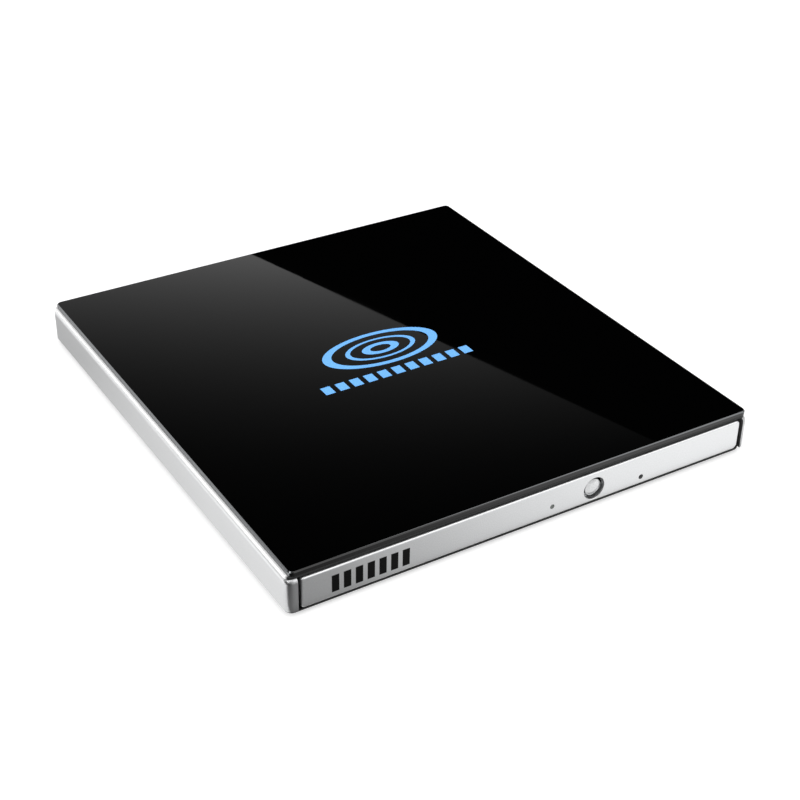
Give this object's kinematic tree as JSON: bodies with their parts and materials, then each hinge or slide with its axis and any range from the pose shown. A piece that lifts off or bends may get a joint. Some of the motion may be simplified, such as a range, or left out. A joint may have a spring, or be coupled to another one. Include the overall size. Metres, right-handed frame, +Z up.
{
  "type": "external optical drive",
  "caption": "Slim external disc drive in a silver case with a gloss black top; the tray slides out with its spindle, pickup, latch and eject button.",
  "frame": {"origin": "on the table under the middle of the case", "axes": "+X to the right of the front, +Y from the bezel to the back, +Z up; the tray opens along -Y"},
  "size_m": [0.135, 0.1446, 0.0124],
  "materials": {
    "black_gloss": "polished gloss black",
    "black_satin": "fine satin black",
    "silver_case": "fine satin silver",
    "silver_bezel": "satin silver paint",
    "button_silver": "satin silver paint",
    "rubber": "soft matt black",
    "screw_steel": "dark zinc",
    "sheet_steel": "plain rolled sheet",
    "polished_steel": "ground and polished",
    "tray_plastic": "fine moulded texture",
    "guide_plastic": "moulded",
    "white_plastic": "moulded",
    "label": "satin film",
    "circuit_board": "green solder mask",
    "copper": "enamelled wire",
    "clear": "clear moulding",
    "lens_glass": "coated lens",
    "cable_film": "polyester film",
    "die_cast": "die cast"
  },
  "bodies": {
    "case": {"bottom_cover": "black_satin", "side_frame": "silver_case", "top_frame": "black_satin", "top_plate": "black_gloss", "rubber_feet": "rubber", "case_screws": "screw_steel", "blank_label": "label", "usb_port_shell": "sheet_steel", "usb_port_core": "guide_plastic", "bridge_board": "circuit_board", "sata_plug": "guide_plastic", "drive_chassis": "sheet_steel", "drive_lid": "sheet_steel", "lid_screws": "screw_steel", "rail_guide_left": "guide_plastic", "rail_guide_right": "guide_plastic", "latch_post": "polished_steel", "main_board": "circuit_board", "drive_sata_socket": "guide_plastic", "cable_fixed_run": "cable_film"},
    "rail_left": {"slide_rail_left": "sheet_steel"},
    "rail_right": {"slide_rail_right": "sheet_steel"},
    "flat_cable": {"cable_fold": "cable_film"},
    "tray": {"tray": "tray_plastic", "deck_cover": "tray_plastic", "underside_cover": "sheet_steel", "front_bezel": "silver_bezel", "led_light_pipe": "clear", "front_board": "circuit_board", "eject_switch": "guide_plastic", "solenoid_frame": "sheet_steel", "solenoid_coil": "copper", "latch_pivot_pin": "polished_steel", "latch_spring": "polished_steel", "ejector_pin": "white_plastic", "ejector_spring": "polished_steel", "cable_connector": "white_plastic", "traverse_frame": "sheet_steel", "rubber_dampers": "rubber", "mechanism_screws": "screw_steel", "guide_rods": "polished_steel", "sled_motor": "sheet_steel", "stator_core": "sheet_steel", "stator_coils": "copper", "spindle_motor_base": "die_cast"},
    "eject_button": {"eject_button": "button_silver"},
    "latch_lever": {"latch_lever": "white_plastic"},
    "plunger": {"solenoid_plunger": "polished_steel"},
    "spindle": {"rotor_cup": "sheet_steel", "turntable": "tray_plastic", "turntable_pad": "rubber"},
    "pawl_1": {"hub_pawl_1": "white_plastic"},
    "pawl_2": {"hub_pawl_2": "white_plastic"},
    "pawl_3": {"hub_pawl_3": "white_plastic"},
    "pickup": {"pickup_body": "die_cast", "rack_nut": "white_plastic", "pickup_cover": "sheet_steel"},
    "lens": {"lens_holder": "guide_plastic", "objective_lenses": "lens_glass"},
    "lead_screw": {"lead_screw": "polished_steel"}
  },
  "joints": [
    {"name": "tray_slide", "type": "slide", "parent": "case", "child": "tray", "axis": [0, -1, 0], "range_m": [0, 0.128]},
    {"name": "rail_left_slide", "type": "slide", "parent": "case", "child": "rail_left", "axis": [0, -1, 0], "range_m": [0, 0.064]},
    {"name": "rail_right_slide", "type": "slide", "parent": "case", "child": "rail_right", "axis": [0, -1, 0], "range_m": [0, 0.064]},
    {"name": "cable_roll", "type": "slide", "parent": "case", "child": "flat_cable", "axis": [0, -1, 0], "range_m": [0, 0.064]},
    {"name": "eject_press", "type": "slide", "parent": "tray", "child": "eject_button", "axis": [0, 1, 0], "range_m": [0, 0.0006], "stiffness_N_per_m": 400, "springref_m": -0.0003},
    {"name": "latch_swing", "type": "hinge", "parent": "tray", "child": "latch_lever", "pos_m": [0.036, -0.0505, 0.0038], "axis": [0, 0, -1], "range_deg": [0, 15.1]},
    {"name": "plunger_pull", "type": "slide", "parent": "tray", "child": "plunger", "axis": [-1, 0, 0], "range_m": [0, 0.00105], "stiffness_N_per_m": 80, "springref_m": -0.0005},
    {"name": "spindle_spin", "type": "hinge", "parent": "tray", "child": "spindle", "pos_m": [0.0007, -0.006, 0.008], "axis": [0, 0, 1], "continuous": true},
    {"name": "pawl_1_press", "type": "slide", "parent": "spindle", "child": "pawl_1", "axis": [0.2588, 0.9659, 0], "range_m": [0, 0.0003], "stiffness_N_per_m": 300, "springref_m": -0.0002},
    {"name": "pawl_2_press", "type": "slide", "parent": "spindle", "child": "pawl_2", "axis": [-0.9659, -0.2588, 0], "range_m": [0, 0.0003], "stiffness_N_per_m": 300, "springref_m": -0.0002},
    {"name": "pawl_3_press", "type": "slide", "parent": "spindle", "child": "pawl_3", "axis": [0.7071, -0.7071, 0], "range_m": [0, 0.0003], "stiffness_N_per_m": 300, "springref_m": -0.0002},
    {"name": "pickup_slide", "type": "slide", "parent": "tray", "child": "pickup", "axis": [-0.7071, -0.7071, 0], "range_m": [0, 0.034]},
    {"name": "lens_focus", "type": "slide", "parent": "pickup", "child": "lens", "axis": [0, 0, 1], "range_m": [-0.0004, 0.0004], "stiffness_N_per_m": 60},
    {"name": "lead_screw_turn", "type": "hinge", "parent": "tray", "child": "lead_screw", "pos_m": [-0.00743, -0.04029, 0.0053], "axis": [-0.7071, -0.7071, 0], "continuous": true}
  ],
  "couplings": [
    {"joint": "rail_left_slide", "follows": "tray_slide", "ratio": 0.5},
    {"joint": "rail_right_slide", "follows": "tray_slide", "ratio": 0.5},
    {"joint": "cable_roll", "follows": "tray_slide", "ratio": 0.5},
    {"joint": "latch_swing", "follows": "plunger_pull", "rad_per_m": 250},
    {"joint": "lead_screw_turn", "follows": "pickup_slide", "rad_per_m": 2094.4}
  ]
}
